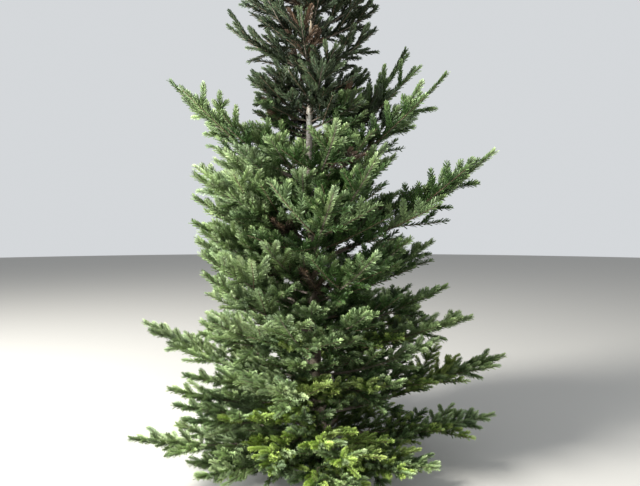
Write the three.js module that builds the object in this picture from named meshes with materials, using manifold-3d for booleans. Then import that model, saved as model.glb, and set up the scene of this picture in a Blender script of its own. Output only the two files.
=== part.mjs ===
// A fir grown as a Christmas tree, rooted in level ground: trunk, bare inner boughs and masses of needles.
// Millimetres, +Z up. The origin is the middle of the flat cut under the trunk, at ground level.
// The side that is seen first faces -Y. Azimuths are in degrees from +X, anticlockwise from above.

import * as THREE from "three";
import Module from "manifold-3d";

const wasm = await Module();
wasm.setup();

// Trunk
const TRUNK_HEIGHT = 3880;
const TRUNK_RADIUS = 50; // at the ground, without the root flare
const TRUNK_TIP_RADIUS = 5;
const TRUNK_TAPER = 1.1; // over 1 narrows faster low down
const TRUNK_SIDES = 12;
const TRUNK_RINGS = 17;
const RING_CROWDING = 1.5; // over 1 puts more of the rings low down
const TRUNK_SWAY = new THREE.Vector2(-90, 30); // how far the trunk bows out, across and in depth
const SWAY_SPAN = 4400; // height over which it bows out and comes back
const FLARE = 24; // how far the root flare swells out at the ground
const FLARE_HEIGHT = 110;
const FLARE_LOBES = 4; // roots under the flare
const FLARE_LOBE_DEPTH = 0.3; // how far the flare draws in between two roots, as a share of it

// Leader, the first-year shoot above the trunk's top whorl
const LEADER_LENGTH = 470;
const LEADER_LEAN = 0.02;
const LEADER_SIDES = 5;
const LEADER_CORE = [ // of needles: radii at shares of the leader's length
  { share: 0, radius: TRUNK_TIP_RADIUS },
  { share: 0.12, radius: 15 },
  { share: 0.85, radius: 12 },
  { share: 1, radius: 4 },
];
const LEADER_WHORLS = [
  { height: 32, count: 4, length: 200, climb: 48, turn: 0.3 },
  { height: 197, count: 3, length: 110, climb: 55, turn: 0.8 },
];

// Boughs
const CURVE_UP = 22; // degrees that a bough's climb grows by from root to tip
const SWEEP = 0.09; // most that a tip swings sideways, as a share of the reach
const ROOT_SCATTER = 22; // most that a bough's root lies above or below its whorl
const LONG_BOUGH = 1170; // a bough at least this long has bare wood at its root
const BARE = 0.3; // share of a long bough that is bare
const HIDDEN_ROOT = 0.1; // share of a short bough that has no laterals
const BOUGH_TIP_RADIUS = 2.5;
const BOUGH_ROOT_RADIUS = 3; // on a bough of no length, plus BOUGH_THICKENING for each millimetre of length
const BOUGH_THICKENING = 0.0085;
const LIMB_SIDES = 6;
const LIMB_BENDS = 3;
const STEM_SIDES = 3; // inside a mass
const STEM_STEP = 330; // between the bends of a stem
const GAP = 0.3; // between nodes that touch

// Each whorl's height on the trunk, and each bough's azimuth, reach from the trunk's axis and mean climb
const WHORLS = [
  { height: 185, boughs: [[212, 1300, 9], [283, 1000, 12], [356, 1250, 6], [62, 1150, 9], [136, 1120, 9]] },
  { height: 470, boughs: [[184, 1240, 22], [256, 890, 18], [5, 1400, 9], [97, 1120, 18]] },
  { height: 780, boughs: [[348, 1090, 13], [222, 900, 20], [142, 1060, 20], [48, 1100, 18]] },
  { height: 1090, boughs: [[229, 950, 24], [294, 860, 24], [172, 900, 29], [18, 1000, 24], [92, 1000, 24]] },
  { height: 1390, boughs: [[351, 1260, 31], [276, 800, 30], [142, 930, 28], [62, 950, 28]] },
  { height: 1660, boughs: [[207, 850, 21], [298, 700, 25], [112, 850, 32], [262, 560, 30]] },
  { height: 1950, boughs: [[184, 1010, 37], [0, 980, 39], [290, 650, 28], [96, 800, 40]] },
  { height: 2040, boughs: [[30, 860, 51]] },
  { height: 2500, boughs: [[196, 430, 28], [12, 440, 35], [104, 430, 30], [286, 400, 30]] },
  { height: 2790, boughs: [[178, 600, 29], [262, 450, 30], [350, 470, 30], [80, 460, 30]] },
  { height: 3080, boughs: [[200, 510, 20], [338, 440, 22], [85, 450, 30]] },
  { height: 3360, boughs: [[160, 430, 30], [278, 420, 30], [38, 420, 30]] },
  { height: 3630, boughs: [[212, 310, 38], [332, 300, 38], [92, 290, 38]] },
];

// Laterals, the side twigs of a bough. Each is a spray of needles: a toothed blade whose midrib is the twig and
// whose teeth are the shoots that stand out of it, so a bough with its laterals lies nearly flat.
const LATERAL_STEP = 240; // between the pairs of laterals on a bough, from its tip back
const SHORT_STEP = 165; // the same on the short boughs of the top
const SHORT_BOUGH = 600;
const SECOND_NEARER = 0.15; // how much nearer the tip one lateral of a pair is, in steps
const MOST_PAIRS = 6; // of laterals on a bough
const LATERAL_MOST = 460;
const LATERAL_GROWTH = 430; // distance from the tip over which laterals lengthen
const LATERAL_LEAST = 140;
const LATERAL_ANGLE = 52; // degrees from the bough's own direction
const LATERAL_ANGLE_RANGE = 7;
const LATERAL_LIFT = 0.12; // how much a lateral turns up
const LATERAL_LIFT_RANGE = 0.28; // and how much more or less it may
const TIP_SPRAY = 330; // length of the spray that ends a bough
const TIP_SHARE = 0.6; // and the most of the bough that it may be
const STEM_INTO_TIP = 0.4; // share of that spray that the stem reaches into
const SHOOT_PITCH = 115; // between the pairs of shoots on a spray
const SHOOT_MOST = 165;
const SHOOT_GROWTH = 170; // distance from the spray's tip over which its shoots lengthen
const SHOOT_ANGLE = 48;
const SHOOT_LIFT = 0.14;
const FIRST_SHOOT = 0.45; // its distance from the spray's root, in pitches
const PAST_LAST_SHOOT = 0.6; // the same from one pitch before the last pair to the spray's tip
const LENGTH_RANGE = 0.15; // share that a lateral or a shoot may be longer or shorter by
const MIDRIB = 13; // half of a spray's thickness along its twig
const MIDRIB_TAPER = 0.4;
const WEB = 15; // from the twig to the notch between two shoots
const WEB_TAPER = 0.5;
const SPRAY_ROOT = 4; // half of a spray's width where it leaves the bough
const SHRINKS = [1, 0.75, 0.5]; // shares of its length that a spray is tried at where it meets a neighbour
const SPACE_CLEAR = 3; // least distance between the masses
const GROUND_CLEAR = 12;
const MERGE_WITHIN = 0.05; // edges shorter than this are merged away where pieces are joined
const SEED = 20571;
const LEADER_KEY = 900; // first key of the leader's draws, past every bough's

// Colours
const BARK = new THREE.MeshStandardMaterial({ color: 0x6f665b, roughness: 0.95, metalness: 0 });
const BOUGH_BARK = new THREE.MeshStandardMaterial({ color: 0x5c4a3a, roughness: 0.92, metalness: 0 });
const NEEDLES = new THREE.MeshStandardMaterial({ color: 0x54703f, roughness: 0.6, metalness: 0 });

const radians = THREE.MathUtils.degToRad;
const UP = new THREE.Vector3(0, 0, 1);

// The unit vector at an azimuth and a climb, in radians
function heading(azimuth, climb) {
  return new THREE.Vector3(Math.cos(azimuth) * Math.cos(climb), Math.sin(azimuth) * Math.cos(climb), Math.sin(climb));
}

// The same number from -1 to 1 for the same keys, which are whole numbers
function draw(...keys) {
  let h = SEED;
  for (const key of keys) {
    h = Math.imul(h ^ (key + 0x7f4a7c15), 0x85ebca6b);
    h ^= h >>> 13;
    h = Math.imul(h, 0xc2b2ae35);
    h ^= h >>> 16;
  }
  return (h >>> 0) / 2147483648 - 1;
}

// Solids from rings of points, and from single triangles

function solidFrom(vertices, triangles) {
  const geometry = new THREE.BufferGeometry();
  geometry.setAttribute("position", new THREE.Float32BufferAttribute(vertices.flatMap((v) => v.toArray()), 3));
  geometry.setIndex(triangles);
  return new wasm.Manifold(
    new wasm.Mesh({
      numProp: 3,
      vertProperties: geometry.getAttribute("position").array,
      triVerts: new Uint32Array(geometry.index.array),
    }),
  );
}

function loft(rings) {
  const sides = rings[0].length;
  const last = (rings.length - 1) * sides;
  const triangles = [];
  for (let r = 0; r < rings.length - 1; r++) {
    for (let i = 0; i < sides; i++) {
      const a = r * sides + i;
      const b = r * sides + ((i + 1) % sides);
      triangles.push(a, b, b + sides, a, b + sides, a + sides);
    }
  }
  for (let i = 1; i < sides - 1; i++) {
    triangles.push(0, i + 1, i);
    triangles.push(last, last + i, last + i + 1);
  }
  return solidFrom(rings.flat(), triangles);
}

// A tapering limb through the points, each with the limb's direction and radius there
function limb(points, directions, radii, sides) {
  const rings = points.map((p, i) => {
    const across = new THREE.Vector3().crossVectors(directions[i], UP).normalize();
    const above = new THREE.Vector3().crossVectors(across, directions[i]);
    return Array.from({ length: sides }, (_, k) => {
      const turn = (2 * Math.PI * k) / sides + Math.PI / 2;
      return p
        .clone()
        .addScaledVector(across, radii[i] * Math.cos(turn))
        .addScaledVector(above, radii[i] * Math.sin(turn));
    }).reverse();
  });
  return loft(rings);
}

// Trunk

function trunkAxis(height) {
  const bow = Math.sin((Math.PI * height) / SWAY_SPAN);
  return new THREE.Vector3(TRUNK_SWAY.x * bow, TRUNK_SWAY.y * bow, height);
}

function trunkRadius(height) {
  const left = Math.max(0, 1 - height / TRUNK_HEIGHT);
  return TRUNK_TIP_RADIUS + (TRUNK_RADIUS - TRUNK_TIP_RADIUS) * left ** TRUNK_TAPER;
}

// grown is how much wider than the real trunk it is made, for cutting the boughs clear
function trunk(grown) {
  const rings = [];
  for (let r = 0; r <= TRUNK_RINGS; r++) {
    const height = TRUNK_HEIGHT * (r / TRUNK_RINGS) ** RING_CROWDING;
    const centre = trunkAxis(height);
    const ring = [];
    for (let i = 0; i < TRUNK_SIDES; i++) {
      const turn = (2 * Math.PI * i) / TRUNK_SIDES;
      const lobe = 1 - FLARE_LOBE_DEPTH * (1 - Math.cos(FLARE_LOBES * turn + 1));
      const radius = trunkRadius(height) + FLARE * lobe * Math.exp(-height / FLARE_HEIGHT) + grown;
      ring.push(centre.clone().addScaledVector(heading(turn, 0), radius));
    }
    rings.push(ring);
  }
  return loft(rings);
}

// Boughs

function boughsOf(whorls) {
  const boughs = [];
  whorls.forEach((whorl, w) => {
    whorl.boughs.forEach(([azimuth, reach, climb], b) => {
      const key = boughs.length;
      const climbs = [radians(climb - CURVE_UP / 2), radians(climb + CURVE_UP / 2)];
      const meanCos = (Math.sin(climbs[1]) - Math.sin(climbs[0])) / (climbs[1] - climbs[0]);
      const length = reach / meanCos;
      boughs.push({
        name: `tier_${String(w + 1).padStart(2, "0")}_${"abcde"[b]}`,
        key,
        root: trunkAxis(whorl.height + ROOT_SCATTER * draw(key, 1)),
        outward: heading(radians(azimuth), 0),
        sideways: heading(radians(azimuth + 90), 0),
        sweep: reach * SWEEP * draw(key, 2),
        climbs,
        length,
        bare: length >= LONG_BOUGH ? BARE * length : 0,
        tipSpray: Math.min(TIP_SPRAY, TIP_SHARE * length),
      });
    });
  });
  return boughs;
}

// The point on the bough's axis at a distance from the trunk's axis, measured along the bough
function boughPoint(bough, distance) {
  const [start, end] = bough.climbs;
  const bend = (end - start) / bough.length;
  const climb = start + bend * distance;
  const out = (Math.sin(climb) - Math.sin(start)) / bend;
  const up = (Math.cos(start) - Math.cos(climb)) / bend;
  return bough.root
    .clone()
    .addScaledVector(bough.outward, out)
    .addScaledVector(bough.sideways, bough.sweep * (distance / bough.length) ** 2)
    .addScaledVector(UP, up);
}

function boughDirection(bough, distance) {
  const step = 1;
  return boughPoint(bough, distance + step).sub(boughPoint(bough, distance - step)).normalize();
}

function boughRadius(bough, distance) {
  const atRoot = BOUGH_ROOT_RADIUS + BOUGH_THICKENING * bough.length;
  return THREE.MathUtils.lerp(atRoot, BOUGH_TIP_RADIUS, distance / bough.length);
}

function boughStretch(bough, from, to, segments, sides) {
  const distances = Array.from({ length: segments + 1 }, (_, i) => from + ((to - from) * i) / segments);
  return limb(
    distances.map((distance) => boughPoint(bough, distance)),
    distances.map((distance) => boughDirection(bough, distance)),
    distances.map((distance) => boughRadius(bough, distance)),
    sides,
  );
}

// Sprays

function growth(most, fromTip, span) {
  return most * (1 - Math.exp(-fromTip / span));
}

// A toothed blade from root along direction, its shoots turned up by SHOOT_LIFT
function spray(root, direction, length, key) {
  const forward = direction.clone().normalize();
  const across = new THREE.Vector3().crossVectors(forward, UP).normalize();
  const above = new THREE.Vector3().crossVectors(across, forward);
  const at = (x, y, z) =>
    root
      .clone()
      .addScaledVector(forward, x)
      .addScaledVector(across, y)
      .addScaledVector(above, z + SHOOT_LIFT * Math.abs(y));
  const pairs = Math.max(1, Math.round(length / SHOOT_PITCH) - 1);
  const pitch = length / (pairs + PAST_LAST_SHOOT);
  const station = (pair) => (pair + FIRST_SHOOT) * pitch;
  const turn = radians(SHOOT_ANGLE);
  const half = (side) => {
    const outline = [at(0, side * SPRAY_ROOT, 0)];
    for (let pair = 0; pair < pairs; pair++) {
      const x = station(pair);
      const longer = 1 + LENGTH_RANGE * draw(...key, side + 1, pair);
      const shoot = growth(SHOOT_MOST, length - x, SHOOT_GROWTH) * longer;
      outline.push(at(x + shoot * Math.cos(turn), side * shoot * Math.sin(turn), 0));
      outline.push(at(x + pitch / 2, side * WEB * (1 - (WEB_TAPER * (pair + 1)) / pairs), 0));
    }
    return outline;
  };
  const right = half(1);
  const left = half(-1);
  const tops = [];
  const unders = [];
  for (let pair = 0; pair < pairs; pair++) {
    const thickness = MIDRIB * (1 - (MIDRIB_TAPER * pair) / pairs);
    tops.push(at(station(pair), 0, thickness));
    unders.push(at(station(pair), 0, -thickness));
  }
  const vertices = [...right, ...left, ...tops, ...unders, at(length, 0, 0)];
  const firstLeft = right.length;
  const firstTop = firstLeft + left.length;
  const firstUnder = firstTop + pairs;
  const tip = vertices.length - 1;
  const triangles = [];
  // Faces on one side of the twig, above or below it; flip turns them round
  const addFaces = (edge, ridge, flip) => {
    const add = (a, b, c) => triangles.push(...(flip ? [a, c, b] : [a, b, c]));
    for (let pair = 0; pair < pairs; pair++) {
      const notch = edge + 2 * pair;
      add(ridge + pair, notch, notch + 1);
      add(ridge + pair, notch + 1, notch + 2);
      add(ridge + pair, notch + 2, pair < pairs - 1 ? ridge + pair + 1 : tip);
    }
  };
  addFaces(0, firstTop, false);
  addFaces(0, firstUnder, true);
  addFaces(firstLeft, firstTop, true);
  addFaces(firstLeft, firstUnder, false);
  triangles.push(firstTop, firstLeft, 0, firstUnder, 0, firstLeft);
  return solidFrom(vertices, triangles);
}

// Placing the pieces, each mass in its own space

const placed = []; // every solid so far, with the name of its node and its box

function boxesMeet(a, b) {
  return [0, 1, 2].every((k) => a.min[k] - SPACE_CLEAR < b.max[k] && b.min[k] - SPACE_CLEAR < a.max[k]);
}

function place(node, solid) {
  placed.push({ node, solid, box: solid.boundingBox() });
}

// Adds the solid to its node and returns true, unless it comes too near another node or the ground
function placeIfClear(node, solid) {
  const box = solid.boundingBox();
  if (box.min[2] < GROUND_CLEAR) return false;
  const near = placed.filter((other) => other.node !== node && boxesMeet(box, other.box));
  if (near.some((other) => solid.minGap(other.solid, SPACE_CLEAR) < SPACE_CLEAR)) return false;
  placed.push({ node, solid, box });
  return true;
}

// Adds the spray to its mass, shorter where it would meet a neighbour, or leaves it out
function placeSpray(node, root, direction, length, key) {
  return SHRINKS.some((share) => placeIfClear(node, spray(root, direction, length * share, key)));
}

function placeLateral(bough, pair, fromTip, side) {
  const distance = bough.length - fromTip;
  const key = [bough.key, pair, side + 1];
  const along = boughDirection(bough, distance);
  const flat = new THREE.Vector3().crossVectors(UP, along).normalize();
  const spread = radians(LATERAL_ANGLE + LATERAL_ANGLE_RANGE * draw(...key, 2));
  const direction = along
    .clone()
    .multiplyScalar(Math.cos(spread))
    .addScaledVector(flat, side * Math.sin(spread))
    .addScaledVector(UP, LATERAL_LIFT + LATERAL_LIFT_RANGE * draw(...key, 3));
  const length = LATERAL_LEAST + growth(LATERAL_MOST - LATERAL_LEAST, fromTip, LATERAL_GROWTH);
  const longer = 1 + LENGTH_RANGE * draw(...key, 1);
  placeSpray(bough.mass, boughPoint(bough, distance), direction, length * longer, key);
}

function placeTip(bough) {
  const root = boughPoint(bough, bough.length - bough.tipSpray);
  const direction = boughPoint(bough, bough.length).sub(root);
  placeIfClear(bough.mass, spray(root, direction, direction.length(), [bough.key, 0, 0]));
}

// The leader: a slim core of needles with small whorls of sprays standing out of it
function placeLeader(node) {
  const foot = trunkAxis(TRUNK_HEIGHT).addScaledVector(UP, GAP);
  const centre = (height) => foot.clone().add(new THREE.Vector3(LEADER_LEAN * height, 0, height));
  const rings = LEADER_CORE.map(({ share, radius }) =>
    Array.from({ length: LEADER_SIDES }, (_, k) => {
      const turn = (2 * Math.PI * k) / LEADER_SIDES;
      return centre(share * LEADER_LENGTH).addScaledVector(heading(turn, 0), radius);
    }),
  );
  place(node, loft(rings));
  LEADER_WHORLS.forEach((whorl, w) => {
    for (let i = 0; i < whorl.count; i++) {
      const azimuth = (2 * Math.PI * (i + whorl.turn)) / whorl.count;
      const direction = heading(azimuth, radians(whorl.climb));
      placeIfClear(node, spray(centre(whorl.height), direction, whorl.length, [LEADER_KEY + w, i]));
    }
  });
}

// Joins a node's pieces into one body: a sealed hollow is filled and a loose scrap is dropped
function joined(node) {
  const pieces = placed.filter((piece) => piece.node === node).map((piece) => piece.solid);
  const bodies = wasm.Manifold.union(pieces)
    .simplify(MERGE_WITHIN)
    .decompose()
    .filter((body) => body.volume() > 0)
    .sort((a, b) => b.volume() - a.volume());
  return bodies[0];
}

// Building the tree

const boughs = boughsOf(WHORLS);
place("trunk", trunk(0));
const trunkCutter = trunk(GAP);

// The wood first, so that no spray takes a stem's place
for (const bough of boughs) {
  bough.mass = `${bough.name}_needles`;
  bough.limb = `${bough.name}_bough`;
  const stemEnd = bough.length - (1 - STEM_INTO_TIP) * bough.tipSpray;
  const stemBends = Math.max(2, Math.round((stemEnd - bough.bare) / STEM_STEP));
  if (bough.bare > 0) {
    place(bough.limb, boughStretch(bough, 0, bough.bare, LIMB_BENDS, LIMB_SIDES).subtract(trunkCutter));
    place(bough.mass, boughStretch(bough, bough.bare + GAP, stemEnd, stemBends, STEM_SIDES));
  } else {
    place(bough.mass, boughStretch(bough, 0, stemEnd, stemBends, STEM_SIDES).subtract(trunkCutter));
  }
}
placeLeader("leader_needles");

// Then the sprays, from the tips inwards
boughs.forEach(placeTip);
for (let pair = 1; pair <= MOST_PAIRS; pair++) {
  for (const bough of boughs) {
    const step = bough.length < SHORT_BOUGH ? SHORT_STEP : LATERAL_STEP;
    const leafy = bough.length - Math.max(bough.bare, HIDDEN_ROOT * bough.length + trunkRadius(bough.root.z));
    if (pair * step > leafy) continue;
    placeLateral(bough, pair, pair * step, -1);
    placeLateral(bough, pair, (pair - SECOND_NEARER) * step, 1);
  }
}

function meshOf(name, solid, material) {
  const { numProp, vertProperties, triVerts } = solid.getMesh();
  const geometry = new THREE.BufferGeometry();
  geometry.setAttribute("position", new THREE.BufferAttribute(new Float32Array(vertProperties), numProp));
  geometry.setIndex(new THREE.BufferAttribute(new Uint32Array(triVerts), 1));
  geometry.computeVertexNormals();
  const mesh = new THREE.Mesh(geometry, material);
  mesh.name = name;
  return mesh;
}

const tree = new THREE.Group();
tree.add(meshOf("trunk", joined("trunk"), BARK));
for (const bough of boughs) {
  if (bough.bare > 0) tree.add(meshOf(bough.limb, joined(bough.limb), BOUGH_BARK));
  tree.add(meshOf(bough.mass, joined(bough.mass), NEEDLES));
}
tree.add(meshOf("leader_needles", joined("leader_needles"), NEEDLES));

export default tree;
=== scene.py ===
"""A fir grown as a Christmas tree, dressed with bark, twigs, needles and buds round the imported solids.

Metres, +Z up, the side seen first faces -Y. Azimuths are in degrees from +X, anticlockwise from above.
The trunk, boughs and laterals follow the solids' rule; finer twigs and the needles grow on from them.
"""

from math import copysign, cos, exp, hypot, pi, radians, sin
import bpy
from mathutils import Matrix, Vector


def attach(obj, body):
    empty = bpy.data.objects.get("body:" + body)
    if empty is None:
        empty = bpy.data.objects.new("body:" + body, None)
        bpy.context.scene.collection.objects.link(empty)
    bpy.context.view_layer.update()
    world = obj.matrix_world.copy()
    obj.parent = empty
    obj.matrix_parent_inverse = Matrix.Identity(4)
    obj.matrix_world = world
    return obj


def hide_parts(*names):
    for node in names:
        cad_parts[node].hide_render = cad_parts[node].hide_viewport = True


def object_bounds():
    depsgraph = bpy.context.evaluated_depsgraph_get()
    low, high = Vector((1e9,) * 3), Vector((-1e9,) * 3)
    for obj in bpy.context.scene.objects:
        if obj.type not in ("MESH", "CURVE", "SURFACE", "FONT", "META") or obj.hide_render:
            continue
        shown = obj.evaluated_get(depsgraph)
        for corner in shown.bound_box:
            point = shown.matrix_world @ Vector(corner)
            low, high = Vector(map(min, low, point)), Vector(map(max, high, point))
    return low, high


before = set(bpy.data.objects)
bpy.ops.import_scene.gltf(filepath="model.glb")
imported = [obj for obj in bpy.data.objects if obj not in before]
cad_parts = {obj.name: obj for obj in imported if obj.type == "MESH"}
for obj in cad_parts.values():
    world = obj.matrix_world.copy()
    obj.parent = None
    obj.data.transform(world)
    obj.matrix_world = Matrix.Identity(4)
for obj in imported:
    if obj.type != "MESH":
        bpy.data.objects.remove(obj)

from types import SimpleNamespace as Values

import bpy
import numpy as np
from mathutils import Vector, noise

CAD_LOW, CAD_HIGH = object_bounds()

# Trunk
TRUNK_HEIGHT = 3.88
TRUNK_RADIUS = 0.050  # at the ground, without the root flare
TRUNK_TIP_RADIUS = 0.005
TRUNK_TAPER = 1.1
TRUNK_SWAY = (-0.090, 0.030)  # how far the trunk bows out, across and in depth
SWAY_SPAN = 4.4
FLARE = Values(radius=0.024, height=0.110, lobes=4, lobe_depth=0.3)

# Leader
LEADER = Values(key=900, length=0.470, lean=0.02, light=0.4)
LEADER_WHORLS = [
    Values(height=0.032, count=4, length=0.200, climb=48, turn=0.3),
    Values(height=0.197, count=3, length=0.110, climb=55, turn=0.8),
]

# Boughs: each whorl's height, and each bough's azimuth, reach and mean climb
WHORLS = [
    (0.185, [(212, 1.30, 9), (283, 1.00, 12), (356, 1.25, 6), (62, 1.15, 9), (136, 1.12, 9)]),
    (0.470, [(184, 1.24, 22), (256, 0.89, 18), (5, 1.40, 9), (97, 1.12, 18)]),
    (0.780, [(348, 1.09, 13), (222, 0.90, 20), (142, 1.06, 20), (48, 1.10, 18)]),
    (1.090, [(229, 0.95, 24), (294, 0.86, 24), (172, 0.90, 29), (18, 1.00, 24), (92, 1.00, 24)]),
    (1.390, [(351, 1.26, 31), (276, 0.80, 30), (142, 0.93, 28), (62, 0.95, 28)]),
    (1.660, [(207, 0.85, 21), (298, 0.70, 25), (112, 0.85, 32), (262, 0.56, 30)]),
    (1.950, [(184, 1.01, 37), (0, 0.98, 39), (290, 0.65, 28), (96, 0.80, 40)]),
    (2.040, [(30, 0.86, 51)]),
    (2.500, [(196, 0.43, 28), (12, 0.44, 35), (104, 0.43, 30), (286, 0.40, 30)]),
    (2.790, [(178, 0.60, 29), (262, 0.45, 30), (350, 0.47, 30), (80, 0.46, 30)]),
    (3.080, [(200, 0.51, 20), (338, 0.44, 22), (85, 0.45, 30)]),
    (3.360, [(160, 0.43, 30), (278, 0.42, 30), (38, 0.42, 30)]),
    (3.630, [(212, 0.31, 38), (332, 0.30, 38), (92, 0.29, 38)]),
]
CURVE_UP = 22  # degrees that a bough's climb grows by from root to tip
SWEEP = 0.09  # most that a tip swings sideways, as a share of the reach
ROOT_SCATTER = 0.022
LONG_BOUGH = 1.170  # a bough at least this long has bare wood at its root
BARE = 0.3
HIDDEN_ROOT = 0.1  # share of a short bough that has no needles
BOUGH_RADIUS = Values(tip=0.0025, root=0.003, thickening=0.0085)  # the last for each metre of its length

# Laterals and their shoots
LATERAL_STEP = 0.240  # between the pairs of laterals on a bough, from its tip back
SHORT_STEP = 0.165  # the same on the short boughs of the top
SHORT_BOUGH = 0.600
SECOND_NEARER = 0.15  # how much nearer the tip one lateral of a pair is, in steps
LATERAL_MOST = 0.460
LATERAL_GROWTH = 0.430  # distance from the tip over which laterals lengthen
LATERAL_LEAST = 0.140
LATERAL_ANGLE = 52
LATERAL_ANGLE_RANGE = 7
LATERAL_LIFT = 0.12
LATERAL_LIFT_RANGE = 0.28
SHOOT_PITCH = 0.115  # between the pairs of shoots on a spray
SHOOT_MOST = 0.165
SHOOT_GROWTH = 0.170
SHOOT_ANGLE = 48
FIRST_SHOOT = 0.45  # its distance from the spray's root, in pitches
PAST_LAST_SHOOT = 0.6
LENGTH_RANGE = 0.15
SEED = 20571

UP = np.array([0.0, 0.0, 1.0])
rng = np.random.default_rng(SEED)


def draw(*keys):
    """The same number from -1 to 1 for the same whole numbers, as in the solids' rule."""
    h = SEED
    for key in keys:
        h = ((h ^ ((key + 0x7F4A7C15) & 0xFFFFFFFF)) * 0x85EBCA6B) & 0xFFFFFFFF
        h ^= h >> 13
        h = (h * 0xC2B2AE35) & 0xFFFFFFFF
        h ^= h >> 16
    return h / 2147483648 - 1


def chance_of(*keys):
    return (draw(*keys) + 1) / 2


def unit(v):
    return v / np.linalg.norm(v)


def heading(azimuth, climb):
    level = cos(climb)
    return np.array([cos(azimuth) * level, sin(azimuth) * level, sin(climb)])


def growth(most, from_tip, span):
    return most * (1 - exp(-from_tip / span))


# Trunk and boughs, by the solids' rule

def trunk_axis(height):
    bow = sin(pi * height / SWAY_SPAN)
    return np.array([TRUNK_SWAY[0] * bow, TRUNK_SWAY[1] * bow, height])


def trunk_radius(height):
    left = max(0.0, 1 - height / TRUNK_HEIGHT)
    return TRUNK_TIP_RADIUS + (TRUNK_RADIUS - TRUNK_TIP_RADIUS) * left**TRUNK_TAPER


class Bough:
    """A limb's curve, from the trunk's axis at distance 0 to the tip at its length."""

    def __init__(self, key, height, azimuth, reach, climb):
        self.key = key
        self.climbs = radians(climb - CURVE_UP / 2), radians(climb + CURVE_UP / 2)
        start, end = self.climbs
        self.length = reach * (end - start) / (sin(end) - sin(start))
        self.root = trunk_axis(height + ROOT_SCATTER * draw(key, 1))
        self.outward = heading(radians(azimuth), 0)
        self.sideways = heading(radians(azimuth + 90), 0)
        self.sweep = reach * SWEEP * draw(key, 2)
        bare = BARE * self.length if self.length >= LONG_BOUGH else 0.0
        hidden = HIDDEN_ROOT * self.length + trunk_radius(self.root[2])
        self.leafy = self.length - max(bare, hidden)

    def point(self, distance):
        start, end = self.climbs
        bend = (end - start) / self.length
        climb = start + bend * distance
        out = (sin(climb) - sin(start)) / bend
        up = (cos(start) - cos(climb)) / bend
        across = self.sweep * (distance / self.length) ** 2
        return self.root + out * self.outward + across * self.sideways + up * UP

    def direction(self, distance):
        step = 0.001
        return unit(self.point(distance + step) - self.point(distance - step))

    def radius(self, distance):
        at_root = BOUGH_RADIUS.root + BOUGH_RADIUS.thickening * self.length
        return at_root + (BOUGH_RADIUS.tip - at_root) * distance / self.length


def solid_boughs():
    """The boughs that have solids of their own, in the solids' order."""
    rows = [(height, *row) for height, whorl in WHORLS for row in whorl]
    return [Bough(key, *row) for key, row in enumerate(rows)]


# Weaker boughs, between those that have solids

WEAKER = Values(step=1.2, vigour=0.95, tone=-0.12)  # spacing, length and tone of laterals, beside the others'
WEAKER_CLIMB = Values(low=18, more=11, range=7)  # in degrees low on the tree, and how much more at mid height
# In each whorl's widest gaps
EXTRA = Values(
    key=400, counts=(2, 2, 2, 1, 1, 1, 1, 0, 1, 1, 1, 1, 0),
    reach=0.72, reach_range=0.10, turn_range=0.12, height_range=0.03,
)
# Between each whorl and the next
BETWEEN = Values(
    key=200, counts=(5, 5, 5, 5, 5, 4, 0, 0, 4, 3, 3, 3, 0),
    reach=0.82, reach_range=0.18, turn_range=0.25, height_range=0.25, azimuth=262, turn=16,
)
# Round the foot
LOWEST = Values(key=180, count=7, height=0.12, climb=6, reach=1, reach_range=0.1, turn_range=0.25, azimuth=15)
BARE_FRONT = Values(above=1.70, below=2.45, azimuth=265, spread=32)  # none of these three grow here
INSIDE_EDGE = 0.07  # how far they stay inside the solids' box
SQUARE_ON = 0.1  # least share of a heading along an axis at which that axis limits the reach
# Those listed for the side seen first and for the far side, each a height, azimuth, reach and climb
FILLING = {
    600: [
        (0.15, 303, 0.95, 5), (0.17, 233, 1.08, 4), (0.26, 246, 0.88, 6), (0.33, 222, 1.02, 8),
        (0.33, 264, 0.60, 14), (0.40, 205, 1.05, 12), (0.52, 284, 0.52, 14), (0.56, 214, 0.98, 10),
        (0.56, 243, 0.70, 12), (0.64, 258, 0.56, 18), (0.76, 236, 0.62, 16), (0.80, 208, 0.85, 12),
        (0.96, 268, 0.54, 20), (1.27, 262, 0.52, 22), (1.29, 205, 0.80, 22), (1.38, 201, 0.84, 20),
        (1.50, 190, 0.82, 23), (1.56, 225, 0.62, 26), (1.80, 190, 0.66, 32), (1.86, 332, 0.60, 30),
        (1.88, 214, 0.60, 26), (1.98, 236, 0.48, 28), (2.02, 190, 0.52, 36), (2.18, 172, 0.43, 24),
        (2.24, 8, 0.43, 26), (2.34, 158, 0.39, 22), (2.36, 187, 0.33, 26), (2.36, 338, 0.40, 24),
        (2.40, 12, 0.40, 28), (2.42, 330, 0.36, 26), (2.44, 190, 0.38, 18), (2.47, 238, 0.28, 16),
        (2.48, 292, 0.28, 20), (0.14, 268, 0.90, 4), (0.13, 286, 0.82, 4), (0.14, 251, 0.78, 5),
        (0.13, 217, 0.94, 4), (0.13, 319, 0.86, 5), (0.36, 250, 0.44, 12), (0.42, 290, 0.42, 14),
    ],
    700: [
        (0.16, 52, 0.75, 5), (0.16, 160, 1.00, 5), (0.20, 84, 0.60, 6), (0.44, 32, 0.80, 9),
        (0.45, 120, 0.60, 10), (0.55, 150, 0.80, 10), (0.56, 75, 0.60, 14), (0.69, 108, 0.60, 16),
        (0.84, 62, 0.56, 16), (0.95, 60, 0.55, 16), (0.95, 82, 0.45, 18), (0.98, 38, 0.70, 14),
        (0.99, 100, 0.56, 18), (1.42, 160, 0.80, 20), (1.62, 24, 0.75, 24), (1.86, 162, 0.75, 22),
        (2.30, 36, 0.50, 26), (2.30, 136, 0.38, 24), (2.42, 95, 0.30, 24), (2.46, 128, 0.34, 24),
    ],
}


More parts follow.
